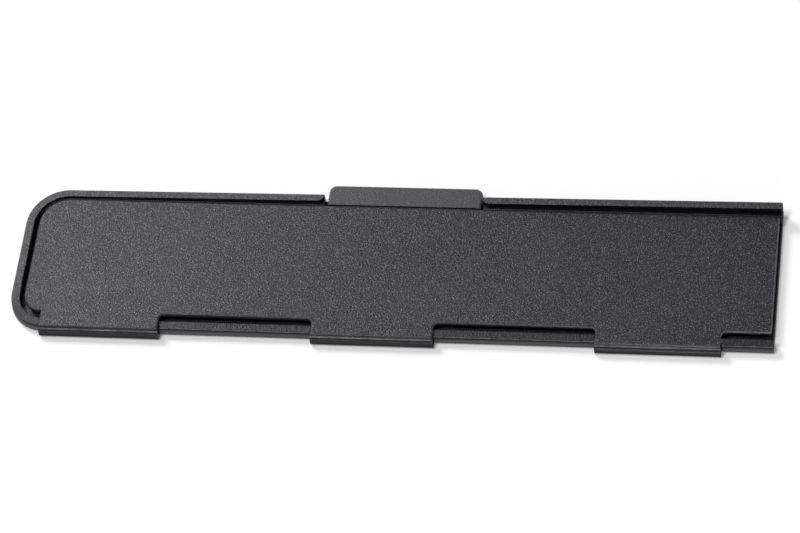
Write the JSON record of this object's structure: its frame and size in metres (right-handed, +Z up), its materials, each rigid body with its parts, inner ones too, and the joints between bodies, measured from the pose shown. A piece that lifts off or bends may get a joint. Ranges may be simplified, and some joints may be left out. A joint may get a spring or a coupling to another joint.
{
  "type": "knife blade guard",
  "caption": "Flat hinged knife blade guard: a tray-shaped back and a clip-on cover with hinge leaves, a finger tab and felt lining.",
  "frame": {"origin": "middle of the flat underside of the back, with the guard closed", "axes": "+X along the guard from the closed tip to the open mouth, +Y from the hinge to the closing edge, +Z up out of the cover"},
  "size_m": [0.2154, 0.0505, 0.0066],
  "materials": {
    "black_plastic": "fine spark-eroded grain",
    "felt": "short felt",
    "magnet": "nickel plate"
  },
  "bodies": {
    "back": {"back_shell": "black_plastic", "back_liner": "felt", "back_magnet_tip": "magnet", "back_magnet_middle": "magnet", "back_magnet_mouth": "magnet"},
    "cover": {"front_cover": "black_plastic", "cover_liner": "felt", "cover_magnet_tip": "magnet", "cover_magnet_middle": "magnet", "cover_magnet_mouth": "magnet"}
  },
  "joints": [
    {"name": "cover_hinge", "type": "hinge", "parent": "back", "child": "cover", "pos_m": [0, -0.0218, 0.00235], "axis": [1, 0, 0], "range_deg": [0, 180]}
  ]
}
